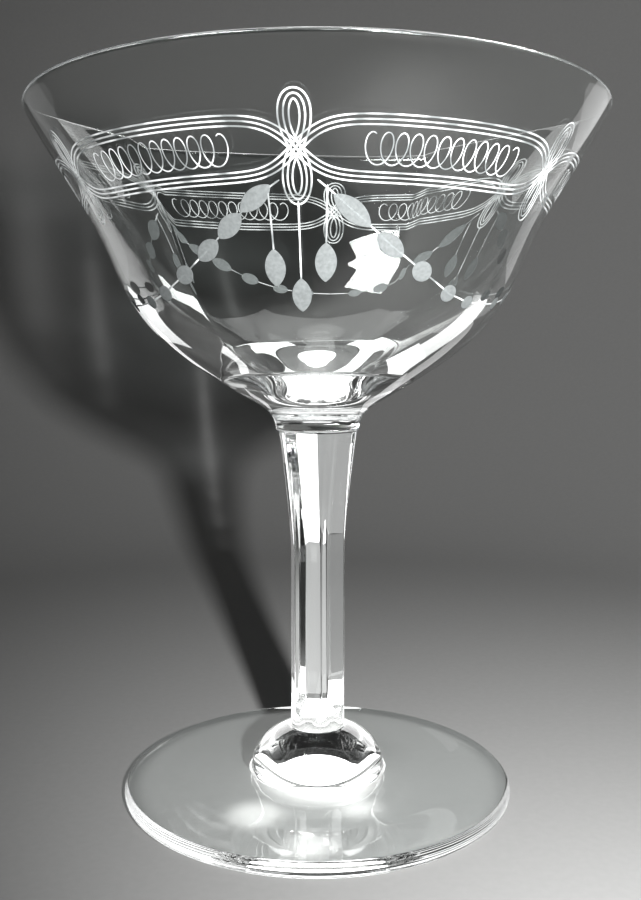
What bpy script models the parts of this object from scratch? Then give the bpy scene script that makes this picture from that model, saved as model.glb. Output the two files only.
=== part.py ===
"""Stemmed sherbet glass: a flared bowl, a six-sided stem, a rounded button and a round foot.

The four pieces stand one on the other and are sealed together hot. Each is a closed solid of its own,
modelled from its own base and lifted to its place, with a small gap at each seal. Sizes are in metres,
+Z is up, and the origin is the centre of the flat ring that the foot stands on.
"""

import math

import bmesh
import bpy
from mathutils import Vector
from mathutils.geometry import interpolate_bezier

# Foot: a disc with a fire-rounded edge, crowned towards the button and hollowed a little underneath
FOOT_DIAMETER = 0.0696
FOOT_EDGE_THICKNESS = 0.0026
FOOT_CROWN = 0.0009
FOOT_HOLLOW = 0.0006
FOOT_RING_WIDTH = 0.0080
FOOT_SEAT_MARGIN = 0.0005

# Button: the squat dome between the foot and the stem
BUTTON_DIAMETER = 0.0238
BUTTON_HEIGHT = 0.0075
BUTTON_LEDGE = 0.0003

# Stem: a round base, a straight six-sided shaft and a flare below the bowl
STEM_BASE_DIAMETER = 0.0097
STEM_BASE_HEIGHT = 0.0042
STEM_SHAFT_LENGTH = 0.0276
STEM_SHAFT_FLATS = 0.0090
STEM_SHAFT_EDGE_RADIUS = 0.0006
STEM_FLARE_LENGTH = 0.02175
STEM_FLARE_POWER = 1.35
STEM_TOP_FLATS = 0.0133
STEM_TOP_EDGE_RADIUS = 0.0030
STEM_TURN = math.radians(8)

# Bowl: its outer side runs from the collar over the neck and the shoulder to the rim. The wall thins from the
# neck to the rim by a power of the height still to go, and the floor inside is a shallow dish.
BOWL_COLLAR_LEDGE = 0.0002
BOWL_NECK_DIAMETER = 0.0269
BOWL_NECK_RISE = 0.00615
BOWL_NECK_SLOPE = math.radians(31.5)
BOWL_SHOULDER_DIAMETER = 0.0698
BOWL_SHOULDER_RISE = 0.0215
BOWL_SHOULDER_SLOPE = math.radians(68.5)
BOWL_RIM_DIAMETER = 0.0980
BOWL_WALL_RISE = 0.0262
BOWL_RIM_SLOPE = math.radians(62)
BOWL_BASE_THICKNESS = 0.00825
BOWL_NECK_THICKNESS = 0.0045
BOWL_RIM_THICKNESS = 0.0012
BOWL_THINNING = 1.5
BOWL_DISH_SLOPE = math.radians(12.5)

# Panels pressed into the bowl's inner side: the wall is thickest along the middle of each one
BOWL_PANELS = 6
BOWL_PANEL_DEPTH = 0.0005
BOWL_PANEL_TURN = math.radians(23)

# Room left at each hot seal, and how full the curves between two slopes are
SEAL_GAP = 0.0003
CURVE_FULLNESS = 0.4

# Direction of the front, -Y, from which the stem and the panels are turned
FRONT = -math.pi / 2

# Fineness of the meshes
FOOT_SEGMENTS = 60
BUTTON_SEGMENTS = 48
BOWL_SEGMENTS = 60
EDGE_STEPS = 6
CURVE_STEPS = 5
SHOULDER_STEPS = 8
DISH_STEP = 1
STEM_SIDES = 6
STEM_SIDE_TURNS = [math.radians(turn) for turn in (0, 3, 8, 16, 30, 44, 52, 57)]
SMOOTH_ANGLE = math.radians(40)

# Colourless soda glass, with the roughness of a fire-polished and of a cut and polished surface
GLASS_COLOUR = (0.93, 0.95, 0.95, 1.0)
GLASS_IOR = 1.52
FIRE_POLISH = 0.02
WHEEL_POLISH = 0.04


def slope_vector(slope):
    """Unit step in the (radius, height) plane at an angle above the horizontal."""
    return Vector((math.cos(slope), math.sin(slope)))


def curve_between(start, start_slope, end, end_slope, steps):
    """Points of a smooth curve that leaves start and reaches end at the given slopes."""
    reach = CURVE_FULLNESS * (end - start).length
    leaving = start + reach * slope_vector(start_slope)
    arriving = end - reach * slope_vector(end_slope)
    return interpolate_bezier(start, leaving, arriving, end, steps + 1)


def arc(centre, across, along, steps):
    """Points of a half turn of an ellipse, from centre + across through centre + along to centre - across."""
    turns = [math.pi * step / steps for step in range(steps + 1)]
    return [centre + across * math.cos(turn) + along * math.sin(turn) for turn in turns]


def even_turns(count, start=0.0):
    """Angles of the points of a ring, spaced evenly round the axis."""
    return [start + 2 * math.pi * index / count for index in range(count)]


def ring(turns, radius_at, height):
    """Points of one ring round the axis, with a radius that may change with the angle."""
    radii = [radius_at(turn) for turn in turns]
    return [Vector((r * math.cos(t), r * math.sin(t), height)) for r, t in zip(radii, turns)]


def turned_rings(outline, segments):
    """Round rings through the points of an outline given as (radius, height)."""
    turns = even_turns(segments)
    return [ring(turns, lambda turn, r=point.x: r, point.y) for point in outline]


def glass(name, roughness):
    """Clear colourless glass for one piece."""
    material = bpy.data.materials.new(name)
    material.use_nodes = True
    shader = material.node_tree.nodes["Principled BSDF"]
    shader.inputs["Base Color"].default_value = GLASS_COLOUR
    shader.inputs["Metallic"].default_value = 0.0
    shader.inputs["Roughness"].default_value = roughness
    shader.inputs["IOR"].default_value = GLASS_IOR
    shader.inputs["Transmission Weight"].default_value = 1.0
    return material


def closed_piece(name, rings, first_centre, last_centre, material, base_height, whole):
    """One closed solid: the rings joined in order, with the first and last closed to points on the axis."""
    form = bmesh.new()
    loops = [[form.verts.new(point) for point in points] for points in rings]
    for low, high in zip(loops, loops[1:]):
        for index in range(len(low)):
            form.faces.new((low[index - 1], low[index], high[index], high[index - 1]))
    first = form.verts.new((0.0, 0.0, first_centre))
    last = form.verts.new((0.0, 0.0, last_centre))
    for index in range(len(loops[0])):
        form.faces.new((first, loops[0][index], loops[0][index - 1]))
        form.faces.new((loops[-1][index - 1], loops[-1][index], last))
    mesh = bpy.data.meshes.new(name)
    form.to_mesh(mesh)
    form.free()
    mesh.shade_smooth()
    mesh.set_sharp_from_angle(angle=SMOOTH_ANGLE)
    mesh.materials.append(material)
    piece = bpy.data.objects.new(name, mesh)
    piece.parent = whole
    piece.location.z = base_height
    bpy.context.collection.objects.link(piece)


def foot(whole):
    """The foot, from the hollow underneath round the edge to the flat seat of the button."""
    edge_radius = FOOT_EDGE_THICKNESS / 2
    ring_outer = FOOT_DIAMETER / 2 - edge_radius
    ring_inner = ring_outer - FOOT_RING_WIDTH
    seat_radius = BUTTON_DIAMETER / 2 + FOOT_SEAT_MARGIN
    seat_height = FOOT_EDGE_THICKNESS + FOOT_CROWN
    shares = [step / CURVE_STEPS for step in range(1, CURVE_STEPS + 1)]
    hollow = [Vector((ring_inner * s, FOOT_HOLLOW * (1 - s**2) ** 2)) for s in shares]
    edge = arc(Vector((ring_outer, edge_radius)), Vector((0, -edge_radius)), Vector((edge_radius, 0)), EDGE_STEPS)
    crown = curve_between(edge[-1], math.pi, Vector((seat_radius, seat_height)), math.pi, CURVE_STEPS)
    rings = turned_rings(hollow + edge + crown[1:], FOOT_SEGMENTS)
    closed_piece("foot", rings, FOOT_HOLLOW, seat_height, glass("foot_glass", FIRE_POLISH), 0.0, whole)


def button(whole, base_height):
    """The button: a flattened dome turned round the axis, cut off flat under the stem."""
    radius = BUTTON_DIAMETER / 2
    last_turn = math.acos((STEM_BASE_DIAMETER / 2 + BUTTON_LEDGE) / radius)
    full_height = BUTTON_HEIGHT / math.sin(last_turn)
    turns = [last_turn * step / EDGE_STEPS for step in range(EDGE_STEPS + 1)]
    dome = [Vector((radius * math.cos(turn), full_height * math.sin(turn))) for turn in turns]
    rings = turned_rings(dome, BUTTON_SEGMENTS)
    closed_piece("button", rings, 0.0, BUTTON_HEIGHT, glass("button_glass", FIRE_POLISH), base_height, whole)


def hexagon_radius(turn, flats, edge_radius):
    """Distance from the axis to a six-sided outline with rounded edges, one of them at angle zero."""
    half_side = math.pi / STEM_SIDES
    apothem = flats / 2
    from_edge = abs((turn + half_side) % (2 * half_side) - half_side)
    inset = apothem - edge_radius
    round_until = half_side - math.atan2(inset * math.tan(half_side), apothem)
    if from_edge > round_until:
        return apothem / math.cos(half_side - from_edge)
    centre = inset / math.cos(half_side)
    return centre * math.cos(from_edge) + math.sqrt(edge_radius**2 - (centre * math.sin(from_edge)) ** 2)


def stem(whole, base_height):
    """The stem: each level has a width across the flats and a radius on its long edges."""
    levels = []
    for step in range(CURVE_STEPS + 1):
        share = step / CURVE_STEPS
        to_flats = share * share * (3 - 2 * share)
        flats = STEM_BASE_DIAMETER + (STEM_SHAFT_FLATS - STEM_BASE_DIAMETER) * to_flats
        edge = STEM_BASE_DIAMETER / 2 + (STEM_SHAFT_EDGE_RADIUS - STEM_BASE_DIAMETER / 2) * to_flats
        levels.append((STEM_BASE_HEIGHT * share, flats, edge))
    for step in range(SHOULDER_STEPS + 1):
        share = step / SHOULDER_STEPS
        flats = STEM_SHAFT_FLATS + (STEM_TOP_FLATS - STEM_SHAFT_FLATS) * share**STEM_FLARE_POWER
        edge = STEM_SHAFT_EDGE_RADIUS + (STEM_TOP_EDGE_RADIUS - STEM_SHAFT_EDGE_RADIUS) * share
        levels.append((STEM_BASE_HEIGHT + STEM_SHAFT_LENGTH + STEM_FLARE_LENGTH * share, flats, edge))
    side_turn = 2 * math.pi / STEM_SIDES
    turns = [side * side_turn + turn for side in range(STEM_SIDES) for turn in STEM_SIDE_TURNS]
    rings = []
    for height, flats, edge in levels:
        points = ring(turns, lambda turn, f=flats, e=edge: hexagon_radius(turn, f, e), height)
        rings.append(points)
    top = levels[-1][0]
    closed_piece("stem", rings, 0.0, top, glass("stem_glass", WHEEL_POLISH), base_height, whole)
    bpy.data.objects["stem"].rotation_euler.z = FRONT + STEM_TURN


def bowl_outer_curve():
    """The bowl's outer side above its neck, as (radius, height) points with the direction out of the wall."""
    neck = Vector((BOWL_NECK_DIAMETER / 2, BOWL_NECK_RISE))
    shoulder = Vector((BOWL_SHOULDER_DIAMETER / 2, neck.y + BOWL_SHOULDER_RISE))
    rim_round = BOWL_RIM_THICKNESS / 2
    rim = Vector((BOWL_RIM_DIAMETER / 2, shoulder.y + BOWL_WALL_RISE))
    rim -= rim_round * Vector((1 - math.sin(BOWL_RIM_SLOPE), 1 + math.cos(BOWL_RIM_SLOPE)))
    lower = curve_between(neck, BOWL_NECK_SLOPE, shoulder, BOWL_SHOULDER_SLOPE, SHOULDER_STEPS)
    upper = curve_between(shoulder, BOWL_SHOULDER_SLOPE, rim, BOWL_RIM_SLOPE, CURVE_STEPS)
    points = lower + upper[1:]
    along = [slope_vector(BOWL_NECK_SLOPE)]
    along += [(after - before).normalized() for before, after in zip(points, points[2:])]
    along += [slope_vector(BOWL_RIM_SLOPE)]
    return points, [Vector((step.y, -step.x)) for step in along]


def panel_share(turn):
    """How far into a panel an angle is: 0 on the line between two panels, 1 in the middle of one."""
    return abs(math.sin(BOWL_PANELS / 2 * (turn - FRONT - BOWL_PANEL_TURN)))


def bowl(whole, base_height):
    """The bowl: up the outer side, over the rounded rim, down the panelled inner side to the floor."""
    turns = even_turns(BOWL_SEGMENTS, FRONT + BOWL_PANEL_TURN)
    outer, outward = bowl_outer_curve()
    last = len(outer) - 1
    shares = [(point.y - outer[0].y) / (outer[last].y - outer[0].y) for point in outer]
    inner = []
    for point, out, share in zip(outer, outward, shares):
        extra = (BOWL_NECK_THICKNESS - BOWL_RIM_THICKNESS) * (1 - share) ** BOWL_THINNING
        inner.append(point - (BOWL_RIM_THICKNESS + extra) * out)
    collar_radius = hexagon_radius(0.0, STEM_TOP_FLATS, STEM_TOP_EDGE_RADIUS) + BOWL_COLLAR_LEDGE
    neck = curve_between(Vector((collar_radius, 0)), math.pi / 2, outer[0], BOWL_NECK_SLOPE, CURVE_STEPS)
    across = (outer[last] - inner[last]) / 2
    lip = arc(inner[last] + across, across, Vector((-across.y, across.x)), EDGE_STEPS)
    middle = Vector((0, BOWL_BASE_THICKNESS))
    floor = curve_between(inner[DISH_STEP], BOWL_DISH_SLOPE + math.pi, middle, math.pi, CURVE_STEPS)
    rings = []
    for point in neck + outer[1:] + lip[1:-1]:
        rings.append(ring(turns, lambda turn, r=point.x: r, point.y))
    for index in range(last, DISH_STEP - 1, -1):
        depth = BOWL_PANEL_DEPTH * math.sin(math.pi * shares[index])
        radius = inner[index].x
        rings.append(ring(turns, lambda turn, r=radius, d=depth: r - d * panel_share(turn), inner[index].y))
    for point in floor[1:-1]:
        rings.append(ring(turns, lambda turn, r=point.x: r, point.y))
    closed_piece("bowl", rings, 0.0, middle.y, glass("bowl_glass", FIRE_POLISH), base_height, whole)


def main():
    for leftover in list(bpy.data.objects):
        bpy.data.objects.remove(leftover)
    whole = bpy.data.objects.new("sherbet_glass", None)
    bpy.context.collection.objects.link(whole)
    button_base = FOOT_EDGE_THICKNESS + FOOT_CROWN + SEAL_GAP
    stem_base = button_base + BUTTON_HEIGHT + SEAL_GAP
    bowl_base = stem_base + STEM_BASE_HEIGHT + STEM_SHAFT_LENGTH + STEM_FLARE_LENGTH + SEAL_GAP
    foot(whole)
    button(whole, button_base)
    stem(whole, stem_base)
    bowl(whole, bowl_base)


main()
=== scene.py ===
"""Looks of a sherbet glass: four pieces of clear glass, their needle-etched ornament and a plain studio.

Set out as a Blender add-on. Each operator builds one piece, one group of like pieces or the stage from the
settings in the sidebar, and main() runs them in order. Sizes are in metres. Turns are measured round the
axis from the front (-Y) towards the right (+X).
"""

import math

import bpy
import numpy as np
from bpy.props import FloatProperty, FloatVectorProperty, IntProperty, PointerProperty
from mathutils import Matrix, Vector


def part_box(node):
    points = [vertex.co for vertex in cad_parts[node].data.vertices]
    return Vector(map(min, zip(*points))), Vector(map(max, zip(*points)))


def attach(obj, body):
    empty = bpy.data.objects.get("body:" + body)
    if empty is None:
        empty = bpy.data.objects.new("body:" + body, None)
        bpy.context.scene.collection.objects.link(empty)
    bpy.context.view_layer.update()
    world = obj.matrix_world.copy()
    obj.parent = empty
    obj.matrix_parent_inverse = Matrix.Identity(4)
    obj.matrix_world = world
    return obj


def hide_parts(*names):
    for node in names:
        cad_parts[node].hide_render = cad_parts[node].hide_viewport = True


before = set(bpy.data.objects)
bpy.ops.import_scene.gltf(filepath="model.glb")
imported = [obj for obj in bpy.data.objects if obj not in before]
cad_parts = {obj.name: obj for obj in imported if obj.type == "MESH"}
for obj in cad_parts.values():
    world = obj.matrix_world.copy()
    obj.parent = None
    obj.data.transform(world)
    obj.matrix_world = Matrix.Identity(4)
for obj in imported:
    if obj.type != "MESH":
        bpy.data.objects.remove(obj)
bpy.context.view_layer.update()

bl_info = {
    "name": "Sherbet glass",
    "version": (1, 0, 0),
    "blender": (4, 5, 0),
    "location": "View3D > Sidebar > Sherbet glass",
    "description": "Builds a needle-etched sherbet glass and a plain studio round it",
    "category": "Add Mesh",
}

MM = 0.001

# Levels and radii taken from the solids. The glass pieces meet half way across the gap at each seal.
FOOT_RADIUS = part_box("foot")[1].x
BUTTON_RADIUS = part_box("button")[1].x
RIM_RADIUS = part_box("bowl")[1].x
RIM_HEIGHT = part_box("bowl")[1].z
FOOT_SEAL = (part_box("foot")[1].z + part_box("button")[0].z) / 2
STEM_SEAL = (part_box("button")[1].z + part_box("stem")[0].z) / 2
BOWL_SEAL = (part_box("stem")[1].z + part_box("bowl")[0].z) / 2

# Index of refraction of soda glass, clear or frosted
GLASS_INDEX = 1.52

# How full a curve between two slopes is, as a share of the distance between its ends
CURVE_FULLNESS = 0.4

# Rings of points in the hollow under the foot, as shares of its radius
HOLLOW_SHARES = np.linspace(0.02, 1, num=24)

# Steps of the bowl's outline from the neck to the shoulder and again to the rim, and the step at which the
# dished floor meets its inner side
BOWL_STEPS = 40
DISH_END = 5

# Angles of the points along one side of the stem, closer together on its rounded edges
STEM_SIDES = 6
STEM_SIDE_TURNS = np.radians([0, 0.8, 1.6, 2.4, 3.2, 4.2, 5.5, 7.5, 10, 13, 16, 20, 25, 30])

# Rings of points in the stem's round base and in its flare
STEM_BASE_RINGS = 24
STEM_FLARE_RINGS = 40

# Steps of the bowl's outer side when it is drawn on
WALL_STEPS = 200

# Distance between two points of an etched line, corners of its flat oval section and widths of its two last
# points, as shares of its width
LINE_STEP = 0.22 * MM
LINE_CORNERS = 6
LINE_ENDS = (0.35, 0.8)

# Steps along and round a leaf, and its height as a share of a line's
LEAF_STEPS = 20
LEAF_CORNERS = 16
LEAF_LIFT = 1.5

# Points in which the ribbons and one coil are drawn before they are spaced evenly
RIBBON_POINTS = 2401
COIL_POINTS = 1600

# Angle at which a coil starts in its first turn
COIL_START = math.radians(150)

# How far half a loop of a knot swells on its way out and at its end, as shares of its width and length
LOOP_OUT = (1.55, 0.41)
LOOP_END = 1.15

# Share of light that frosted glass scatters through instead of back
FROST_GLOW = 0.3

# Width of the dark edge of a piece's shadow, as a blend, and of the flat foot's
SHADOW_EDGE = 0.4
FOOT_SHADOW_EDGE = 0.1


def linear(code):
    """Scene-linear colour of an sRGB hex value."""
    shares = [int(code[place : place + 2], 16) / 255 for place in (1, 3, 5)]
    return [s / 12.92 if s <= 0.04045 else ((s + 0.055) / 1.055) ** 2.4 for s in shares] + [1.0]


def length(name, description, default):
    """A size that a user may change."""
    return FloatProperty(name=name, description=description, default=default, unit="LENGTH", precision=5)


def colour(name, description, code):
    """A colour that a user may change, from its sRGB hex value."""
    return FloatVectorProperty(
        name=name, description=description, default=linear(code), size=4, subtype="COLOR", min=0.0, max=1.0
    )


def angle(name, description, degrees):
    """An angle that a user may change."""
    return FloatProperty(name=name, description=description, default=math.radians(degrees), subtype="ANGLE")


class GlassSettings(bpy.types.PropertyGroup):
    """The glass that all four pieces are made of."""

    tint: colour("Tint", "Colour of light that has passed through the glass", "#fbfdfc")
    shade: colour("Shade", "Light that one surface lets through into the shadow", "#f2f4f4")
    solid: colour("Solid shade", "Light that a side of the stem or button lets into the shadow", "#6c6e6e")
    edge_shade: colour("Edge shade", "Light that a surface seen on edge passes into the shadow", "#1c1d1d")
    ior: FloatProperty(name="Index", description="Index of refraction of soda glass", default=GLASS_INDEX)
    ripple: length("Ripple", "Height of the slow waves that tooling leaves in the surface", 0.012 * MM)
    ripple_size: length("Ripple size", "Distance from wave to wave", 11 * MM)
    segments: IntProperty(name="Segments", description="Points in one ring of glass", default=240, min=60)


class FootSettings(bpy.types.PropertyGroup):
    """The foot and the button that stands on it."""

    edge: length("Edge", "Thickness of the foot at its rounded edge", 2.6 * MM)
    hollow: length("Hollow", "Depth of the hollow under the foot", 0.6 * MM)
    ring: length("Ring", "Width of the flat ring that the foot stands on", 8 * MM)
    fillet: length("Fillet", "Radius of the glass that has run into the corner under the button", 0.6 * MM)
    ledge: length("Ledge", "Width of the button's top round the stem", 0.25 * MM)


class StemSettings(bpy.types.PropertyGroup):
    """The six-sided stem."""

    base: length("Base", "Diameter of the round base", 9.7 * MM)
    base_height: length("Base height", "Height in which the base turns into six sides", 4.2 * MM)
    shaft: length("Shaft", "Width of the shaft across its flats", 9.0 * MM)
    shaft_edge: length("Shaft edge", "Radius of the shaft's long edges", 0.45 * MM)
    shaft_length: length("Shaft length", "Length of the straight shaft", 27.6 * MM)
    top: length("Top", "Width across the flats under the bowl", 13.3 * MM)
    top_edge: length("Top edge", "Radius of the long edges under the bowl", 3.0 * MM)
    flare: FloatProperty(name="Flare", description="How late the shaft flares out", default=1.35)
    turn: angle("Turn", "Turn of one long edge from the front", 8)


class BowlSettings(bpy.types.PropertyGroup):
    """The bowl's section and the panels inside it."""

    ledge: length("Ledge", "Width of the collar round the top of the stem", 0.2 * MM)
    neck: length("Neck", "Diameter above the collar", 26.9 * MM)
    neck_rise: length("Neck rise", "Height from the collar to the neck", 6.3 * MM)
    neck_slope: angle("Neck slope", "Slope of the side at the neck", 31.5)
    shoulder: length("Shoulder", "Diameter at the shoulder", 69.8 * MM)
    shoulder_rise: length("Shoulder rise", "Height from the neck to the shoulder", 21.5 * MM)
    shoulder_slope: angle("Shoulder slope", "Slope of the side at the shoulder", 68.5)
    rim_slope: angle("Rim slope", "Slope of the side at the rim", 62)
    base_wall: length("Base wall", "Thickness of the glass over the stem", 8.4 * MM)
    base_flat: length("Base flat", "Radius of the flat middle of the inner floor", 0.15 * MM)
    dish_slope: angle("Dish slope", "Slope of the dished floor at its edge", 12.5)
    neck_wall: length("Neck wall", "Thickness that the wall would have at the neck", 4.5 * MM)
    rim_wall: length("Rim wall", "Thickness of the wall at the rim", 1.2 * MM)
    thinning: FloatProperty(name="Thinning", description="How fast the wall thins with height", default=1.5)
    panels: IntProperty(name="Panels", description="Panels pressed into the inner side", default=6, min=1)
    panel_depth: length("Panel depth", "Extra thickness in the middle of a panel", 0.5 * MM)
    panel_turn: angle("Panel turn", "Turn of one line between panels from the front", 23)


class OrnamentSettings(bpy.types.PropertyGroup):
    """The needle-etched lines and the cut leaves on the outer side of the bowl."""

    white: colour("Etched white", "Colour of the acid-etched lines", "#fafbfb")
    shallow: colour("Etched grey", "Colour of the lines where the acid bit less", "#8b8f8f")
    grey: colour("Cut grey", "Colour of the matt leaves", "#9b9f9f")
    knots: IntProperty(name="Knots", description="Knots round the bowl, two to a swag", default=6, min=2)
    knot_turn: angle("Knot turn", "Turn of the knot nearest the front", -3.8)
    knot_height: length("Knot height", "Height of the knots' crossings", 106 * MM)
    line: length("Line", "Width of an etched line", 0.29 * MM)
    coil_line: length("Coil line", "Width of the finer line of a coil", 0.22 * MM)
    lift: length("Lift", "Height that a line is drawn above the glass", 0.012 * MM)
    spacing: length("Spacing", "Distance between the three lines of a ribbon", 0.7 * MM)
    ribbon_rise: length("Ribbon rise", "Distance of a ribbon from the level of the knots", 4.0 * MM)
    ribbon_bend: length("Ribbon bend", "Length of a ribbon's bend at a knot", 4.0 * MM)
    loop: length("Loop", "Length of a knot's loop", 7.2 * MM)
    loop_width: length("Loop width", "Half the width of a knot's loop", 1.35 * MM)
    coil_pitch: length("Coil pitch", "Distance from turn to turn of a coil", 2.1 * MM)
    coil_turns: FloatProperty(name="Coil turns", description="Turns in one coil", default=11.2)
    coil_reach: length("Coil reach", "How far a turn swings to each side", 1.35 * MM)
    coil_height: length("Coil height", "Height of a turn along the wall", 4.5 * MM)


class StageSettings(bpy.types.PropertyGroup):
    """The paper sweep, the lamps and the camera."""

    paper: colour("Paper", "Colour of the backdrop paper", "#b8b8b7")
    sky: colour("Studio", "Colour of the dim studio above the paper", "#222222")
    key: FloatProperty(name="Key", description="Power of the lamp beside the camera in watts", default=5.1)
    beam: angle("Beam", "Angle across the beam of the lamp beside the camera", 120.0)
    pool: FloatProperty(
        name="Pool", description="Power of the light gathered under the button in watts", default=1.0
    )
    fill: FloatProperty(name="Fill", description="How bright the lamp beside the lines looks", default=5.0)
    lens: FloatProperty(name="Lens", description="Focal length for a 36 mm sensor, in mm", default=40.14)


def curve(start, start_slope, end, end_slope, steps):
    """Points of a smooth curve that leaves start and reaches end at the given slopes."""
    start, end = np.array(start), np.array(end)
    reach = CURVE_FULLNESS * np.linalg.norm(end - start)
    leaving = start + reach * np.array([math.cos(start_slope), math.sin(start_slope)])
    arriving = end - reach * np.array([math.cos(end_slope), math.sin(end_slope)])
    return bezier(start, leaving, arriving, end, steps)


def bezier(start, leaving, arriving, end, steps):
    """Points of one cubic curve."""
    t = np.linspace(0, 1, steps + 1)[:, None]
    points = np.array([start, leaving, arriving, end])
    return (
        (1 - t) ** 3 * points[0]
        + 3 * (1 - t) ** 2 * t * points[1]
        + 3 * (1 - t) * t**2 * points[2]
        + t**3 * points[3]
    )


def ellipse(centre, reach, rise, start, end, steps):
    """Points of an ellipse round centre between two angles."""
    t = np.linspace(start, end, steps + 1)
    return np.stack([centre[0] + reach * np.cos(t), centre[1] + rise * np.sin(t)], 1)


def ring(turns, radius, height):
    """Points of one ring round the axis, with one radius or one for each turn."""
    radius = np.broadcast_to(radius, turns.shape)
    return np.stack([radius * np.sin(turns), -radius * np.cos(turns), np.full(turns.shape, height)], 1)


def even_turns(count, start=0.0):
    """Turns of the points of a ring, spaced evenly round the axis."""
    return start + 2 * math.pi * np.arange(count) / count


def hexagon(turns, flats, edge):
    """Distance from the axis to a six-sided outline with rounded edges, one of them at turn zero."""
    half_side = math.pi / STEM_SIDES
    apothem = flats / 2
    from_edge = np.abs((turns + half_side) % (2 * half_side) - half_side)
    inset = apothem - edge
    round_until = half_side - math.atan2(inset * math.tan(half_side), apothem)
    middle = inset / math.cos(half_side)
    across = np.minimum(middle * np.sin(from_edge), edge)
    rounded = middle * np.cos(from_edge) + np.sqrt(edge**2 - across**2)
    return np.where(from_edge > round_until, apothem / np.cos(half_side - from_edge), rounded)


def lofted(rings, looped=False):
    """Points and faces of rings joined in order, closed at both ends or joined into a loop."""
    rings = np.array(rings)
    count, corners = rings.shape[:2]
    points = rings.reshape(-1, 3)
    index = np.arange(count * corners).reshape(count, corners)
    before = np.roll(index, 1, axis=1)
    if looped:
        low, low_before = index, before
        high, high_before = np.roll(index, -1, axis=0), np.roll(before, -1, axis=0)
    else:
        low, low_before, high, high_before = index[:-1], before[:-1], index[1:], before[1:]
    faces = np.stack([low_before, low, high, high_before], 2).reshape(-1, 4).tolist()
    if not looped:
        first, last = len(points), len(points) + 1
        points = np.vstack([points, rings[0].mean(0), rings[-1].mean(0)])
        faces = [[first, a, b] for a, b in zip(index[0], before[0])] + faces
        faces += [[b, a, last] for a, b in zip(index[-1], before[-1])]
    return points, faces


def joined(parts):
    """Several point and face lists as one."""
    points, faces, start = [], [], 0
    for part_points, part_faces in parts:
        points.append(part_points)
        faces += [[corner + start for corner in face] for face in part_faces]
        start += len(part_points)
    return np.vstack(points), faces


def add_mesh(name, points, faces, material):
    """A smooth mesh object."""
    mesh = bpy.data.meshes.new(name)
    mesh.from_pydata(points.tolist(), [], faces)
    mesh.shade_smooth()
    mesh.materials.append(material)
    piece = bpy.data.objects.new(name, mesh)
    bpy.context.scene.collection.objects.link(piece)
    return piece


def add_piece(name, points, faces, material, slot):
    """A smooth mesh object that rides on the glass."""
    piece = add_mesh(name, points, faces, material)
    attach(piece, "root")
    return piece


def add_glass(node, rings, sealed_start, sealed_end):
    """A glass piece in place of one solid. The caps named as sealed are fused to the next piece."""
    points, faces = lofted(rings)
    corners = len(rings[0])
    piece = add_piece(node + "_glass", points, faces, glass_material(node), node + "_glass")
    piece.data.materials.append(seal_material())
    marks = np.zeros(len(faces), dtype=int)
    marks[: corners * sealed_start] = 1
    marks[len(faces) - corners * sealed_end :] = 1
    piece.data.polygons.foreach_set("material_index", marks)
    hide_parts(node)


def add_node(tree, kind, settings=None, links=None):
    """One shader node with its own settings, its socket values and the outputs linked to its sockets."""
    node = tree.nodes.new(kind)
    for key, value in (settings or {}).items():
        if key in node.inputs:
            node.inputs[key].default_value = value
        else:
            setattr(node, key, value)
    for key, output in (links or {}).items():
        tree.links.new(output, node.inputs[key])
    return node


def add_noise(tree, size, detail):
    """Noise that stays fixed to the object, with grains of one size."""
    place = add_node(tree, "ShaderNodeTexCoord")
    settings = {"Scale": 1 / size, "Detail": detail}
    noise = add_node(tree, "ShaderNodeTexNoise", settings, {"Vector": place.outputs["Object"]})
    return noise.outputs["Fac"]


def add_mix(tree, low, high, share):
    """A colour between two, by the share that an output gives."""
    settings = {"data_type": "RGBA", "A": low, "B": high}
    return add_node(tree, "ShaderNodeMix", settings, {"Factor": share}).outputs["Result"]


def add_frost(tree, output, tone, roughness):
    """The surface of frosted glass: it scatters most light back and some of it through."""
    settings = {"Roughness": roughness, "IOR": GLASS_INDEX}
    shader = add_node(tree, "ShaderNodeBsdfPrincipled", settings, {"Base Color": tone})
    glow = add_node(tree, "ShaderNodeBsdfTranslucent", links={"Color": tone})
    mixed = add_node(
        tree,
        "ShaderNodeMixShader",
        {"Fac": FROST_GLOW},
        {1: shader.outputs["BSDF"], 2: glow.outputs["BSDF"]},
    )
    tree.links.new(mixed.outputs["Shader"], output.inputs["Surface"])


def new_material(name):
    """An empty node material and its output node."""
    material = bpy.data.materials.new(name)
    material.use_nodes = True
    tree = material.node_tree
    tree.nodes.clear()
    return material, tree, tree.nodes.new("ShaderNodeOutputMaterial")


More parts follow.
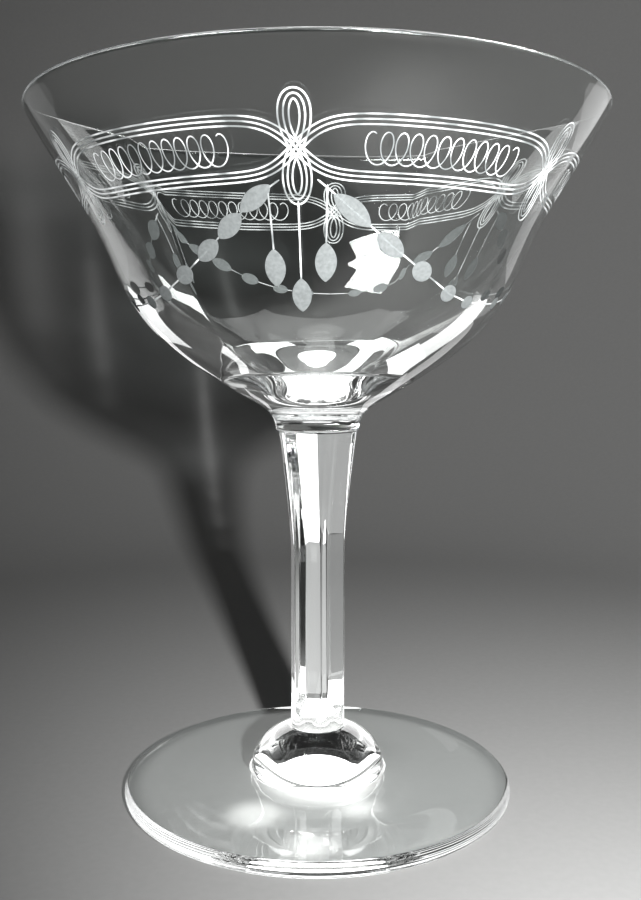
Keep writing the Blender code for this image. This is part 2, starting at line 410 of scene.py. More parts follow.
def glass_material(node):
    """Soda glass, blown or cut and then fire-polished.

    The fire leaves a mirror-smooth skin with slow waves, so what stands behind it swims a little. Lamps
    shine through it into the shadow, less so where the wall is seen on edge.
    """
    glass = bpy.context.scene.sherbet_glass
    material, tree, output = new_material(node + "_fire_polished_soda_glass")
    waves = add_noise(tree, glass.ripple_size, detail=1.0)
    bump = add_node(tree, "ShaderNodeBump", {"Strength": 1.0, "Distance": glass.ripple}, {"Height": waves})
    shader = add_node(
        tree,
        "ShaderNodeBsdfPrincipled",
        {
            "Base Color": glass.tint,
            "Roughness": 0.0,
            "IOR": glass.ior,
            "Transmission Weight": 1.0,
        },
        {"Normal": bump.outputs["Normal"]},
    )
    face_on = glass.solid if node in ("stem", "button") else glass.shade
    blend = FOOT_SHADOW_EDGE if node == "foot" else SHADOW_EDGE
    facing = add_node(tree, "ShaderNodeLayerWeight", {"Blend": blend})
    shade = add_mix(tree, face_on, glass.edge_shade, facing.outputs["Facing"])
    through = add_node(tree, "ShaderNodeBsdfTransparent", links={"Color": shade})
    rays = add_node(tree, "ShaderNodeLightPath")
    mixed = add_node(
        tree,
        "ShaderNodeMixShader",
        links={
            "Fac": rays.outputs["Is Shadow Ray"],
            1: shader.outputs["BSDF"],
            2: through.outputs["BSDF"],
        },
    )
    tree.links.new(mixed.outputs["Shader"], output.inputs["Surface"])
    return material


def seal_material():
    """Two pieces of glass fused while hot: no surface is left between them, so nothing is seen there."""
    name = "fused_glass_seal"
    if name in bpy.data.materials:
        return bpy.data.materials[name]
    material, tree, output = new_material(name)
    shader = add_node(tree, "ShaderNodeBsdfPrincipled", {"Alpha": 0.0})
    tree.links.new(shader.outputs["BSDF"], output.inputs["Surface"])
    return material


def etched_material():
    """Glass bitten by acid through a needle-scratched ground.

    The bite leaves a fine white frost that scatters the light of every lamp, uneven where the ground was
    thin. Where the acid bit less, over some 4 mm at a time, the line is greyer. The grain is drawn at
    0.3 mm, coarser than the real frost, so that it can be seen.
    """
    ornament = bpy.context.scene.sherbet_ornament
    material, tree, output = new_material("acid_etched_frosted_glass")
    grain = add_noise(tree, 0.3 * MM, detail=2.0)
    frost = add_mix(tree, linear("#d5d9d9"), ornament.white, grain)
    depth = add_noise(tree, 4 * MM, detail=1.0)
    bite = add_node(tree, "ShaderNodeMapRange", {"From Min": 0.35, "From Max": 0.55}, {"Value": depth})
    bitten = add_node(
        tree,
        "ShaderNodeMix",
        {"data_type": "RGBA", "A": ornament.shallow},
        {"Factor": bite.outputs["Result"], "B": frost},
    )
    add_frost(tree, output, bitten.outputs["Result"], roughness=0.6)
    return material


def leaf_material():
    """Leaf ground matt with a small wheel: greyer than the etched lines, with a fine grain."""
    ornament = bpy.context.scene.sherbet_ornament
    material, tree, output = new_material("wheel_matted_glass")
    grain = add_noise(tree, 0.5 * MM, detail=3.0)
    matt = add_mix(tree, linear("#6c7070"), ornament.grey, grain)
    add_frost(tree, output, matt, roughness=0.5)
    return material


def paper_material():
    """Seamless backdrop paper: matt, with a faint tooth and slightly uneven pulp."""
    stage = bpy.context.scene.sherbet_stage
    material, tree, output = new_material("matt_backdrop_paper")
    tooth = add_noise(tree, 1.5 * MM, detail=4.0)
    darker = [0.9 * part for part in stage.paper[:3]] + [1.0]
    paper = add_mix(tree, stage.paper, darker, tooth)
    bump = add_node(tree, "ShaderNodeBump", {"Strength": 0.3, "Distance": 0.05 * MM}, {"Height": tooth})
    shader = add_node(
        tree,
        "ShaderNodeBsdfPrincipled",
        {"Roughness": 0.9, "Specular IOR Level": 0.2},
        {"Base Color": paper, "Normal": bump.outputs["Normal"]},
    )
    tree.links.new(shader.outputs["BSDF"], output.inputs["Surface"])
    return material


def bowl_outer(bowl, steps):
    """The bowl's outer side above its neck as (radius, height) points, and the directions out of it."""
    neck = (bowl.neck / 2, BOWL_SEAL + bowl.neck_rise)
    shoulder = (bowl.shoulder / 2, neck[1] + bowl.shoulder_rise)
    lip = bowl.rim_wall / 2
    rim = (
        RIM_RADIUS - lip * (1 - math.sin(bowl.rim_slope)),
        RIM_HEIGHT - lip * (1 + math.cos(bowl.rim_slope)),
    )
    lower = curve(neck, bowl.neck_slope, shoulder, bowl.shoulder_slope, steps)
    upper = curve(shoulder, bowl.shoulder_slope, rim, bowl.rim_slope, steps)
    points = np.vstack([lower, upper[1:]])
    along = np.gradient(points, axis=0)
    along /= np.linalg.norm(along, axis=1)[:, None]
    return points, np.stack([along[:, 1], -along[:, 0]], 1)


class Wall:
    """The bowl's outer side as a sheet to draw on: x runs round it at knot level and y up along it."""

    def __init__(self):
        points, self.out = bowl_outer(bpy.context.scene.sherbet_bowl, WALL_STEPS)
        ornament = bpy.context.scene.sherbet_ornament
        steps = np.linalg.norm(np.diff(points, axis=0), axis=1)
        self.y = np.concatenate([[0], np.cumsum(steps)])
        self.points = points
        self.y -= self.level(ornament.knot_height)
        self.turn = ornament.knot_turn
        self.radius = np.interp(0, self.y, points[:, 0])
        self.period = 2 * math.pi * self.radius / ornament.knots

    def level(self, height):
        """Where a height is on the sheet."""
        return np.interp(height, self.points[:, 1], self.y)

    def place(self, x, y, lift):
        """Points on the glass, or above it, and the directions out of it."""
        turn = self.turn + x / self.radius
        out_r = np.interp(y, self.y, self.out[:, 0])
        out_z = np.interp(y, self.y, self.out[:, 1])
        radius = np.interp(y, self.y, self.points[:, 0]) + out_r * lift
        height = np.interp(y, self.y, self.points[:, 1]) + out_z * lift
        spot = np.stack([radius * np.sin(turn), -radius * np.cos(turn), height], 1)
        out = np.stack([out_r * np.sin(turn), -out_r * np.cos(turn), out_z], 1)
        return spot, out


def resampled(path, step, looped):
    """A drawn path with its points evenly spaced."""
    if looped:
        path = np.vstack([path, path[:1]])
    gone = np.concatenate([[0], np.cumsum(np.linalg.norm(np.diff(path, axis=0), axis=1))])
    count = max(4, int(round(gone[-1] / step)))
    at = np.linspace(0, gone[-1], count + 1)
    if looped:
        at = at[:-1]
    return np.stack([np.interp(at, gone, path[:, axis]) for axis in (0, 1)], 1)


def beside(path, distance, looped):
    """The path moved sideways in the sheet."""
    if looped:
        along = np.roll(path, -1, axis=0) - np.roll(path, 1, axis=0)
    else:
        along = np.gradient(path, axis=0)
    along /= np.linalg.norm(along, axis=1)[:, None]
    return path + distance * np.stack([-along[:, 1], along[:, 0]], 1)


def etched_line(wall, path, wide, looped=False):
    """Points and faces of one etched line: a flat oval strip let into the glass along a drawn path."""
    ornament = bpy.context.scene.sherbet_ornament
    path = resampled(path, LINE_STEP, looped)
    spot, out = wall.place(path[:, 0], path[:, 1], 0.0)
    if looped:
        along = np.roll(spot, -1, axis=0) - np.roll(spot, 1, axis=0)
    else:
        along = np.gradient(spot, axis=0)
    side = np.cross(out, along)
    side /= np.linalg.norm(side, axis=1)[:, None]
    half = np.full(len(path), wide / 2)
    if not looped:
        half[[0, -1]] *= LINE_ENDS[0]
        half[[1, -2]] *= LINE_ENDS[1]
    corners = even_turns(LINE_CORNERS)[:, None, None]
    rings = spot + side * half[:, None] * np.cos(corners) + out * ornament.lift * np.sin(corners)
    return lofted(np.swapaxes(rings, 0, 1), looped)


def leaf(wall, middle, lean, long, wide, fullness):
    """Points and faces of one matt leaf: a flat lens, sharp at its tips at fullness 1 and round at 0.5."""
    ornament = bpy.context.scene.sherbet_ornament
    share = np.cos(np.linspace(math.pi, 0, LEAF_STEPS + 1))[1:-1]
    half = wide / 2 * (1 - share**2) ** fullness
    corners = even_turns(LEAF_CORNERS)[:, None]
    run = share * long / 2 + 0 * corners
    across = half * np.cos(corners)
    spread = wall.radius / leaf_radius(wall, middle)
    x = middle[0] + (run * math.cos(lean) - across * math.sin(lean)) * spread
    y = middle[1] + run * math.sin(lean) + across * math.cos(lean)
    lift = ornament.lift * LEAF_LIFT * np.sin(corners) + 0 * run
    spot, _ = wall.place(x.ravel(), y.ravel(), lift.ravel())
    return lofted(np.swapaxes(spot.reshape(*x.shape, 3), 0, 1))


def leaf_radius(wall, middle):
    """Radius of the wall where a leaf lies."""
    return np.interp(middle[1], wall.y, wall.points[:, 0])


class SHERBET_OT_foot(bpy.types.Operator):
    """Build the foot"""

    bl_idname = "sherbet.foot"
    bl_label = "Foot"

    def execute(self, context):
        foot = context.scene.sherbet_foot
        turns = even_turns(context.scene.sherbet_glass.segments)
        edge = foot.edge / 2
        ring_outer = FOOT_RADIUS - edge
        ring_inner = ring_outer - foot.ring
        depths = foot.hollow * (1 - HOLLOW_SHARES**2) ** 2
        hollow = np.stack([ring_inner * HOLLOW_SHARES, depths], 1)
        rounded = ellipse((ring_outer, edge), edge, edge, -math.pi / 2, math.pi / 2, steps=20)
        seat = (BUTTON_RADIUS + foot.fillet, FOOT_SEAL)
        crown = curve(rounded[-1], math.pi, seat, math.pi, steps=30)
        rings = [ring(turns, *point) for point in np.vstack([hollow, rounded, crown[1:]])]
        add_glass("foot", rings, 0, 1)
        return {"FINISHED"}


class SHERBET_OT_button(bpy.types.Operator):
    """Build the button between the foot and the stem"""

    bl_idname = "sherbet.button"
    bl_label = "Button"

    def execute(self, context):
        foot = context.scene.sherbet_foot
        turns = even_turns(context.scene.sherbet_glass.segments)
        stem_radius = context.scene.sherbet_stem.base / 2
        top = stem_radius + foot.ledge
        corner = (BUTTON_RADIUS + foot.fillet, FOOT_SEAL + foot.fillet)
        fillet = ellipse(corner, foot.fillet, foot.fillet, -math.pi / 2, -math.pi, steps=10)
        last = math.acos(top / BUTTON_RADIUS)
        rise = (STEM_SEAL - corner[1]) / math.sin(last)
        dome = ellipse((0, corner[1]), BUTTON_RADIUS, rise, 0, last, steps=30)
        outline = np.vstack([fillet, dome[1:], [[stem_radius, STEM_SEAL]]])
        rings = [ring(turns, *point) for point in outline]
        add_glass("button", rings, 1, 1)
        return {"FINISHED"}


class SHERBET_OT_stem(bpy.types.Operator):
    """Build the six-sided stem"""

    bl_idname = "sherbet.stem"
    bl_label = "Stem"

    def execute(self, context):
        stem = context.scene.sherbet_stem
        side_turn = 2 * math.pi / STEM_SIDES
        mirrored = side_turn - STEM_SIDE_TURNS[-2:0:-1]
        side = np.concatenate([STEM_SIDE_TURNS, mirrored])
        turns = np.concatenate([side + side_turn * index for index in range(STEM_SIDES)])
        rings = []
        for share in np.linspace(0, 1, STEM_BASE_RINGS):
            to_flats = share * share * (3 - 2 * share)
            flats = stem.base + (stem.shaft - stem.base) * to_flats
            edge = stem.base / 2 + (stem.shaft_edge - stem.base / 2) * to_flats
            height = STEM_SEAL + stem.base_height * share
            rings.append(ring(turns + stem.turn, hexagon(turns, flats, edge), height))
        flare_start = STEM_SEAL + stem.base_height + stem.shaft_length
        for share in np.linspace(0, 1, STEM_FLARE_RINGS):
            flats = stem.shaft + (stem.top - stem.shaft) * share**stem.flare
            edge = stem.shaft_edge + (stem.top_edge - stem.shaft_edge) * share
            height = flare_start + (BOWL_SEAL - flare_start) * share
            rings.append(ring(turns + stem.turn, hexagon(turns, flats, edge), height))
        add_glass("stem", rings, 1, 1)
        return {"FINISHED"}


class SHERBET_OT_bowl(bpy.types.Operator):
    """Build the panelled bowl"""

    bl_idname = "sherbet.bowl"
    bl_label = "Bowl"

    def execute(self, context):
        bowl = context.scene.sherbet_bowl
        stem = context.scene.sherbet_stem
        turns = even_turns(context.scene.sherbet_glass.segments, bowl.panel_turn)
        outer, out = bowl_outer(bowl, BOWL_STEPS)
        side = slice(DISH_END, None)
        share = (outer[side, 1] - outer[0, 1]) / (outer[-1, 1] - outer[0, 1])
        wall = bowl.rim_wall + (bowl.neck_wall - bowl.rim_wall) * (1 - share) ** bowl.thinning
        inner = outer[side] - wall[:, None] * out[side]
        stem_top = hexagon(turns - stem.turn, stem.top, stem.top_edge)
        collar = (stem_top.max() + bowl.ledge, BOWL_SEAL)
        neck = curve(collar, math.pi / 2, outer[0], bowl.neck_slope, steps=16)
        across = (outer[-1] - inner[-1]) / 2
        lip_turns = np.linspace(0, math.pi, num=14)[1:-1, None]
        over = np.array([-across[1], across[0]])
        lip = inner[-1] + across + across * np.cos(lip_turns) + over * np.sin(lip_turns)
        middle = (bowl.base_flat, BOWL_SEAL + bowl.base_wall)
        floor = curve(inner[0], bowl.dish_slope + math.pi, middle, math.pi, steps=30)
        panel = np.abs(np.sin(bowl.panels / 2 * (turns - bowl.panel_turn)))
        rings = [ring(turns, stem_top, BOWL_SEAL)]
        rings += [ring(turns, *point) for point in np.vstack([neck, outer[1:], lip])]
        for point, depth in zip(inner[::-1], bowl.panel_depth * np.sin(math.pi * share[::-1])):
            rings.append(ring(turns, point[0] - depth * panel, point[1]))
        rings += [ring(turns, *point) for point in floor[1:]]
        add_glass("bowl", rings, 1, 0)
        return {"FINISHED"}


class SHERBET_OT_ribbons(bpy.types.Operator):
    """Etch the two ribbons of three lines that cross at the knots"""

    bl_idname = "sherbet.ribbons"
    bl_label = "Ribbons"

    def execute(self, context):
        ornament = context.scene.sherbet_ornament
        wall = Wall()
        x = np.linspace(0, wall.period * ornament.knots, RIBBON_POINTS)
        into = x % wall.period
        away = np.tanh(into / ornament.ribbon_bend) * np.tanh((wall.period - into) / ornament.ribbon_bend)
        upper = np.where((x // wall.period) % 2 == 0, 1.0, -1.0)
        lines = []
        for side in (1, -1):
            middle = np.stack([x, side * upper * ornament.ribbon_rise * away], 1)
            for share in (-1, 0, 1):
                slope = np.gradient(middle[:, 1], x)
                tilt = share * ornament.spacing / np.sqrt(1 + slope**2)
                path = np.stack([x - tilt * slope, middle[:, 1] + tilt], 1)
                lines.append(etched_line(wall, path, ornament.line))
        add_piece("etched_ribbons", *joined(lines), etched_material(), "bowl_glass")
        return {"FINISHED"}


class SHERBET_OT_knots(bpy.types.Operator):
    """Etch the loops above and below each crossing"""

    bl_idname = "sherbet.knots"
    bl_label = "Knots"

    def execute(self, context):
        ornament = context.scene.sherbet_ornament
        wall = Wall()
        wide, long = ornament.loop_width, ornament.loop
        leaving = (LOOP_OUT[0] * wide, LOOP_OUT[1] * long)
        half = bezier((0, 0), leaving, (LOOP_END * wide, long), (0, long), steps=60)
        upper = np.vstack([half, (half * (-1, 1))[-2::-1]])
        lower = (upper * (-1, -1))[1:-1]
        eight = np.vstack([upper, lower])
        lines = []
        for knot in range(ornament.knots):
            for share in (-1, 0, 1):
                path = beside(resampled(eight, LINE_STEP, True), share * ornament.spacing, True)
                lines.append(etched_line(wall, path + (knot * wall.period, 0), ornament.line, looped=True))
        add_piece("etched_knots", *joined(lines), etched_material(), "bowl_glass")
        return {"FINISHED"}


class SHERBET_OT_coils(bpy.types.Operator):
    """Etch the run of loops between two knots"""

    bl_idname = "sherbet.coils"
    bl_label = "Coils"

    def execute(self, context):
        ornament = context.scene.sherbet_ornament
        wall = Wall()
        turn = np.linspace(0, 2 * math.pi * ornament.coil_turns, COIL_POINTS) + COIL_START
        run = (turn - turn.mean()) / (2 * math.pi) * ornament.coil_pitch
        x = run + ornament.coil_reach * np.sin(turn)
        y = -ornament.coil_height / 2 * np.cos(turn)
        lines = []
        for knot in range(ornament.knots):
            forward = 1 if knot % 2 == 0 else -1
            path = np.stack([(knot + 0.5) * wall.period + forward * x, y], 1)
            lines.append(etched_line(wall, path, ornament.coil_line))
        add_piece("etched_coils", *joined(lines), etched_material(), "bowl_glass")
        return {"FINISHED"}


# Leaves of one swag beside its knot: turn from the knot in degrees, height, length, width and fullness
SWAG_LEAVES = (
    (-9.2, 100.0 * MM, 6.0 * MM, 2.8 * MM, 0.8),
    (-16.0, 96.6 * MM, 5.2 * MM, 2.9 * MM, 0.75),
    (-22.8, 93.5 * MM, 4.6 * MM, 2.9 * MM, 0.7),
    (-31.8, 90.3 * MM, 3.6 * MM, 2.9 * MM, 0.55),
    (-42.0, 87.9 * MM, 3.0 * MM, 2.6 * MM, 0.5),
    (-51.5, 86.8 * MM, 2.6 * MM, 2.3 * MM, 0.5),
    (11.6, 98.4 * MM, 7.2 * MM, 3.1 * MM, 0.85),
    (21.2, 94.0 * MM, 5.4 * MM, 3.0 * MM, 0.75),
    (30.8, 90.6 * MM, 3.6 * MM, 3.1 * MM, 0.55),
    (41.6, 87.7 * MM, 3.1 * MM, 2.8 * MM, 0.5),
    (51.0, 86.6 * MM, 2.6 * MM, 2.3 * MM, 0.5),
)

# Leaves on the swag's left, where its two stalks start beside the knot, and the level of its lowest point
SWAG_LEFT = 6
SWAG_STARTS = (-2.6 * MM, 2.9 * MM)
SWAG_TOP = 102.2 * MM
SWAG_LOW = 86.5 * MM

# Drops under a swag's knot: turn from it in degrees, top of the line, top and tip of the leaf, and its
# width. Each line runs a little way into its leaf.
DROP_OVERLAP = 0.3 * MM
DROP_FULLNESS = 0.8
DROPS = (
    (-6.2, 101.6 * MM, 93.4 * MM, 88.3 * MM, 3.1 * MM),
    (0.0, 99.6 * MM, 89.4 * MM, 84.8 * MM, 2.9 * MM),
    (6.0, 101.6 * MM, 94.2 * MM, 88.9 * MM, 3.2 * MM),
)


class SHERBET_OT_swags(bpy.types.Operator):
    """Cut the swags of leaves that hang from every other knot"""

    bl_idname = "sherbet.swags"
    bl_label = "Swags"

    def execute(self, context):
        ornament = context.scene.sherbet_ornament
        wall = Wall()
        spots = [(math.radians(turn) * wall.radius, wall.level(height)) for turn, height, *_ in SWAG_LEAVES]
        ends = [(-wall.period, wall.level(SWAG_LOW)), (wall.period, wall.level(SWAG_LOW))]
        starts = [(x, wall.level(SWAG_TOP)) for x in SWAG_STARTS]
        chains = (
            [starts[0], *spots[:SWAG_LEFT], ends[0]],
            [starts[1], *spots[SWAG_LEFT:], ends[1]],
        )
        leaves, stalks = [], []
        for knot in range(0, ornament.knots, 2):
            start = np.array([knot * wall.period, 0])
            for chain, sizes in zip(chains, (SWAG_LEAVES[:SWAG_LEFT], SWAG_LEAVES[SWAG_LEFT:])):
                points = np.array(chain)
                stalks.append(etched_line(wall, resampled(points + start, LINE_STEP, False), ornament.line))
                for index, (_, _, long, wide, fullness) in enumerate(sizes, 1):
                    step = points[index + 1] - points[index - 1]
                    step[0] *= leaf_radius(wall, points[index]) / wall.radius
                    lean = math.atan2(step[1], step[0])
                    leaves.append(leaf(wall, points[index] + start, lean, long, wide, fullness))
        add_piece("swag_leaves", *joined(leaves), leaf_material(), "bowl_glass")
        add_piece("swag_stalks", *joined(stalks), etched_material(), "bowl_glass")
        return {"FINISHED"}


class SHERBET_OT_drops(bpy.types.Operator):
    """Cut the three leaves that hang on straight lines under a swag's knot"""

    bl_idname = "sherbet.drops"
    bl_label = "Drops"

    def execute(self, context):
        ornament = context.scene.sherbet_ornament
        wall = Wall()
        leaves, lines = [], []
        for knot in range(0, ornament.knots, 2):
            for turn, line_top, leaf_top, leaf_tip, wide in DROPS:
                x = knot * wall.period + math.radians(turn) * wall.radius
                top, base, tip = (wall.level(height) for height in (line_top, leaf_top, leaf_tip))
                path = np.array([(x, top), (x, base - DROP_OVERLAP)])
                lines.append(etched_line(wall, path, ornament.line))
                middle = (x, (base + tip) / 2)
                leaves.append(leaf(wall, middle, -math.pi / 2, base - tip, wide, DROP_FULLNESS))
        add_piece("drop_leaves", *joined(leaves), leaf_material(), "bowl_glass")
        add_piece("drop_lines", *joined(lines), etched_material(), "bowl_glass")
        return {"FINISHED"}


# Lamps that shine into the glass only, so that the paper keeps the one clear shadow of the key lamp: name,
# how bright the lamp looks, width and height, where it hangs or lies, and the piece that it shines on
GLASS_LAMPS = (
    ("side", 4.0, 0.14, 0.14, (0.27, 0.07, 0.25), "stem"),
    ("window", 30.0, 0.34, 0.24, (-0.37, -0.38, 0.68), "bowl"),
    ("over", 1.7, 0.20, 0.24, (0.0, 0.215, 0.346), "bowl"),
    ("right", 0.8, 0.12, 0.20, (0.26, 0.20, 0.10), "bowl"),
    ("left", 0.18, 0.12, 0.20, (-0.26, 0.20, 0.10), "bowl"),
    ("behind", 2.0, 0.036, 0.022, (0.0, 0.2145, 0.0005), "bowl"),
    ("behind_ring_left", 2.0, 0.015, 0.031, (-0.0165, 0.1605, 0.0005), "bowl"),
    ("behind_ring_right", 2.0, 0.021, 0.05, (0.0195, 0.15, 0.0005), "bowl"),
    ("behind_right", 1.8, 0.024, 0.075, (0.05, 0.13, 0.0005), "bowl"),
    ("behind_left", 1.8, 0.02, 0.04, (-0.046, 0.13, 0.0005), "bowl"),
    ("outline_right", 1.3, 0.088, 0.065, (0.106, 0.1325, 0.0005), "bowl"),
    ("outline_left", 1.8, 0.058, 0.029, (-0.0947, 0.1986, 0.031), "bowl"),
    ("card", 2.0, 0.245, 0.10, (0.0875, 0.25, 0.060), "stem"),
    ("dim_card", 0.4, 0.22, 0.10, (-0.127, 0.272, 0.060), "stem"),
    ("low_card", 0.45, 0.024, 0.044, (0.008, 0.045, 0.024), "stem"),
    ("low_left", 0.25, 0.06, 0.0434, (-0.04, 0.05, 0.0217), "stem"),
    ("flank", 2.0, 0.50, 0.30, (-0.26, 0.0, 0.17), "stem"),
    ("under", 2.0, 0.06, 0.06, (0.0, 0.0, 0.0065), "stem"),
    ("back", 5.0, 0.30, 0.10, (0.0, 0.12, 0.060), "button"),
    ("edge", 2.0, 0.24, 0.17, (0.177, 0.197, 0.141), "foot"),
    ("front", 2.0, 0.25, 0.12, (0.06, -0.28, 0.08), "foot"),
    ("edge_low", 0.8, 0.12, 0.071, (0.078, 0.271, 0.048), "foot"),
    ("edge_high", 0.5, 0.12, 0.136, (0.078, 0.271, 0.230), "foot"),
    ("rim", 1.4, 0.03, 0.022, (-0.003, 0.0445, 0.0004), "foot"),
)

# Lamps lower than this lie level and face up, a hair towards the back so that their width runs along X. The
# others face the middle of the glass.
LYING_BELOW = 10 * MM
GLASS_MIDDLE = (0.0, 0.0, 0.06)

# Glass lamps that aren't mirrored on the foot's level top, and the one whose light also reaches the paper
UNMIRRORED = ("edge", "edge_low", "edge_high")
REACHES_PAPER = "back"

# The key lamp beside the camera, and the lamp that lights the etched lines from the left
KEY_SPOT = (0.037, -0.20, 0.095)
KEY_AIM = (0.206, 0.36, 0.061)
KEY_RADIUS = 6 * MM
SIDE_SPOT = (-0.30, -0.15, 0.15)
SIDE_AIM = (0.0, 0.0, 0.1)
SIDE_WIDTH = 0.2
ETCHED = ("etched_ribbons", "etched_knots", "etched_coils")
ORNAMENT = ETCHED + ("swag_leaves", "swag_stalks", "drop_leaves", "drop_lines")

# Light that the real glass gathers on the paper under and before its foot: name, share of the pool's power,
# angle across the beam in degrees, softness of its edge, where the lamp hangs and where it shines
POOLS = (
    ("button_pool", 1.0, 19, 1.0, (0.012, -0.045, 0.058), (0.0, 0.0, 0.0)),
    ("foot_pool", 1.7, 13, 0.15, (0.0, -0.001, 0.3), (0.0, 0.0, 0.0)),
    ("left_glint", 0.24, 11, 1.0, (-0.0105, -0.0175, 0.06), (-0.0105, -0.0165, 0.0)),
    ("right_glint", 0.20, 9, 1.0, (0.007, -0.0150, 0.06), (0.007, -0.0140, 0.0)),
    ("front_glint", 0.24, 10, 1.0, (-0.001, -0.0276, 0.06), (-0.001, -0.0266, 0.0)),
)
POOL_RADIUS = 2 * MM

# Streaks of light that the real glass throws into its own shadow, each a row of lamps close to the paper:
# name, how bright its middle looks, width, distance from the paper, turn, the angles up the sweep where the
# row starts and ends, in degrees, and its lamps
STREAKS = (
    ("stem_streak", 0.45, 3 * MM, 4.5 * MM, -170.3, 4, 54, 8),
    ("bowl_streak", 0.40, 4 * MM, 7 * MM, -162.4, 34, 62, 5),
    ("edge_streak", 0.35, 10 * MM, 16 * MM, -158.0, 38, 72, 4),
)

# Radius of the level paper under the glass, its level, radius of its sweep and height of its top
PAPER_FLAT = 0.2
PAPER_LEVEL = -0.1 * MM
PAPER_SWEEP = 0.3
PAPER_TOP = 0.45

# Where the camera stands and how far it looks down, in degrees
CAMERA_SPOT = (0.55 * MM, -178.0 * MM, 78.7 * MM)
CAMERA_DIP = 5.48

# Turns that light takes on its way through the stem and the button, and the brightest light that it may
# bring, high enough to leave the glare in the bowl white
LIGHT_TURNS = 32
GLARE_LIMIT = 30


def add_paper():
    """The backdrop paper, level under the glass and swept up round it."""
    turns = even_turns(count=96)
    radii = np.linspace(10 * MM, PAPER_FLAT, num=8)
    flat = np.stack([radii, np.full(len(radii), PAPER_LEVEL)], 1)
    centre = (PAPER_FLAT, PAPER_SWEEP + PAPER_LEVEL)
    sweep = ellipse(centre, PAPER_SWEEP, PAPER_SWEEP, -math.pi / 2, 0, steps=24)
    outline = np.vstack([flat, sweep[1:], [[PAPER_FLAT + PAPER_SWEEP, PAPER_TOP]]])
    points, faces = lofted([ring(turns[::-1], *point) for point in outline])
    open_at_top = faces[: -len(turns)]
    paper = add_mesh("paper_sweep", points, open_at_top, paper_material())


def on_sweep(turn, rise, gap):
    """A spot over the paper's sweep: turn in degrees, how far up the sweep and distance from the paper."""
    reach = PAPER_SWEEP - gap
    height = PAPER_SWEEP + PAPER_LEVEL - reach * math.cos(rise)
    return ring(np.radians([turn]), PAPER_FLAT + reach * math.sin(rise), height)[0]


def flat_lamp(name, glow, wide, high):
    """A rectangular lamp that looks glow bright."""
    data = bpy.data.lights.new(name, "AREA")
    data.shape = "RECTANGLE"
    data.size = wide
    data.size_y = high
    data.energy = glow * math.pi * wide * high
    return data


def beam_lamp(name, watts, beam, softness, radius):
    """A small round lamp with a beam."""
    data = bpy.data.lights.new(name, "SPOT")
    data.energy = watts
    data.spot_size = beam
    data.spot_blend = softness
    data.shadow_soft_size = radius
    return data


def keep_off_paper(data):
    """Switch a lamp off for the paper, so that the glass throws no patches of its light there."""
    data.use_nodes = True
    tree = data.node_tree
    rays = add_node(tree, "ShaderNodeLightPath")
    straight = add_node(
        tree, "ShaderNodeMath", {"operation": "LESS_THAN"}, {0: rays.outputs["Diffuse Depth"]}
    )
    tree.links.new(straight.outputs["Value"], tree.nodes["Emission"].inputs["Strength"])


def lit_pieces(name, pieces):
    """A collection of the pieces that one lamp shines on."""
    lit = bpy.data.collections.new("lit_by_" + name)
    for piece in pieces:
        lit.objects.link(bpy.data.objects[piece])
    return lit


def add_lamp(data, spot, aim, lit, blockers=None):
    """A lamp at one spot that shines at another on the lit pieces and that the camera doesn't see."""
    lamp = bpy.data.objects.new(data.name, data)
    lamp.location = spot
    x, y, z = np.subtract(aim, spot)
    lamp.rotation_euler = (math.acos(-z / math.hypot(x, y, z)), 0, math.atan2(y, x) - math.pi / 2)
    lamp.visible_camera = False
    lamp.visible_transmission = data.type == "AREA"
    lamp.visible_glossy = data.type == "AREA"
    lamp.light_linking.receiver_collection = lit
    lamp.light_linking.blocker_collection = blockers
    bpy.context.scene.collection.objects.link(lamp)
    return lamp


def add_glass_lamps():
    """The lamps that shine into the glass only."""
    for name, glow, wide, high, spot, node in GLASS_LAMPS:
        data = flat_lamp(name, glow, wide, high)
        if name != REACHES_PAPER:
            keep_off_paper(data)
        lying = spot[2] < LYING_BELOW
        aim = (spot[0], spot[1] + 1 * MM, 1.0) if lying else GLASS_MIDDLE
        lamp = add_lamp(data, spot, aim, lit_pieces(name, [node + "_glass"]))
        lamp.visible_glossy = name not in UNMIRRORED


def add_paper_lamps(stage):
    """The key lamp, the ornament's own lamps and the light that the real glass gathers on the paper."""
    paper = lit_pieces("paper_lamps", ["paper_sweep"])
    for name, lit, blockers in (
        ("key", paper, None),
        ("ornament_key", lit_pieces("ornament", ORNAMENT), paper),
    ):
        data = beam_lamp(name, stage.key, stage.beam, 1.0, KEY_RADIUS)
        add_lamp(data, KEY_SPOT, KEY_AIM, lit, blockers)
    data = flat_lamp("ornament_side", stage.fill, SIDE_WIDTH, SIDE_WIDTH)
    add_lamp(data, SIDE_SPOT, SIDE_AIM, lit_pieces("ornament_side", ETCHED), paper)
    for name, share, beam, softness, spot, aim in POOLS:
        data = beam_lamp(name, share * stage.pool, math.radians(beam), softness, POOL_RADIUS)
        add_lamp(data, spot, aim, paper, paper)
    for name, glow, wide, gap, turn, low, high, count in STREAKS:
        step = math.radians(high - low) / count
        for index in range(count):
            rise = math.radians(low) + (index + 0.5) * step
            share = math.sin(math.pi * (index + 0.5) / count)
            data = flat_lamp(name, share * glow, wide, PAPER_SWEEP * step)
            lamp = add_lamp(data, on_sweep(turn, rise, gap), on_sweep(turn, rise, 0.0), paper, paper)
            lamp.visible_transmission = False
            lamp.visible_glossy = False


def add_camera(stage):
    """The camera, which looks down at the glass a little."""
    data = bpy.data.cameras.new("camera")
    data.lens = stage.lens
    data.sensor_width = 36
    data.clip_start = 10 * MM
    camera = bpy.data.objects.new("camera", data)
    camera.location = CAMERA_SPOT
    camera.rotation_euler = (math.radians(90 - CAMERA_DIP), 0, 0)
    bpy.context.scene.collection.objects.link(camera)
    bpy.context.scene.camera = camera


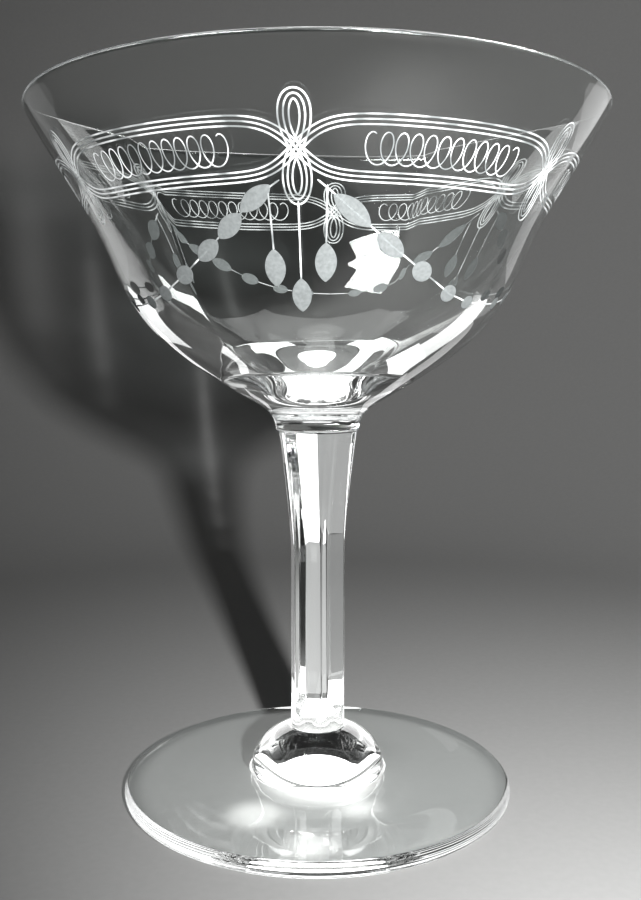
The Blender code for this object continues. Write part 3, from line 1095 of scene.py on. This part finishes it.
class SHERBET_OT_stage(bpy.types.Operator):
    """Set the paper sweep, the lamps, the studio light and the camera"""

    bl_idname = "sherbet.stage"
    bl_label = "Stage"

    def execute(self, context):
        scene = context.scene
        stage = scene.sherbet_stage
        add_paper()
        world = bpy.data.worlds.new("dim_studio")
        world.use_nodes = True
        background = world.node_tree.nodes["Background"]
        background.inputs["Color"].default_value = stage.sky
        scene.world = world
        add_glass_lamps()
        add_paper_lamps(stage)
        add_camera(stage)
        scene.view_settings.view_transform = "Standard"
        scene.cycles.max_bounces = LIGHT_TURNS
        scene.cycles.transmission_bounces = LIGHT_TURNS
        scene.cycles.glossy_bounces = LIGHT_TURNS
        scene.cycles.transparent_max_bounces = LIGHT_TURNS
        scene.cycles.sample_clamp_indirect = GLARE_LIMIT
        return {"FINISHED"}


class SHERBET_PT_panel(bpy.types.Panel):
    """Settings and builders of the sherbet glass"""

    bl_idname = "SHERBET_PT_panel"
    bl_label = "Sherbet glass"
    bl_space_type = "VIEW_3D"
    bl_region_type = "UI"
    bl_category = "Sherbet glass"

    def draw(self, context):
        layout = self.layout
        for name in GROUPS:
            box = layout.box()
            group = getattr(context.scene, name)
            for key in group.__annotations__:
                box.prop(group, key)
        for operator in OPERATORS:
            layout.operator(operator.bl_idname)


GROUPS = {
    "sherbet_glass": GlassSettings,
    "sherbet_foot": FootSettings,
    "sherbet_stem": StemSettings,
    "sherbet_bowl": BowlSettings,
    "sherbet_ornament": OrnamentSettings,
    "sherbet_stage": StageSettings,
}
OPERATORS = (
    SHERBET_OT_foot,
    SHERBET_OT_button,
    SHERBET_OT_stem,
    SHERBET_OT_bowl,
    SHERBET_OT_ribbons,
    SHERBET_OT_knots,
    SHERBET_OT_coils,
    SHERBET_OT_swags,
    SHERBET_OT_drops,
    SHERBET_OT_stage,
)


def register():
    for name, group in GROUPS.items():
        bpy.utils.register_class(group)
        setattr(bpy.types.Scene, name, PointerProperty(type=group))
    for operator in OPERATORS:
        bpy.utils.register_class(operator)
    bpy.utils.register_class(SHERBET_PT_panel)


def unregister():
    bpy.utils.unregister_class(SHERBET_PT_panel)
    for operator in reversed(OPERATORS):
        bpy.utils.unregister_class(operator)
    for name, group in GROUPS.items():
        delattr(bpy.types.Scene, name)
        bpy.utils.unregister_class(group)


def main():
    register()
    bpy.ops.sherbet.foot()
    bpy.ops.sherbet.button()
    bpy.ops.sherbet.stem()
    bpy.ops.sherbet.bowl()
    bpy.ops.sherbet.ribbons()
    bpy.ops.sherbet.knots()
    bpy.ops.sherbet.coils()
    bpy.ops.sherbet.swags()
    bpy.ops.sherbet.drops()
    bpy.ops.sherbet.stage()


if __name__ == "__main__":
    main()
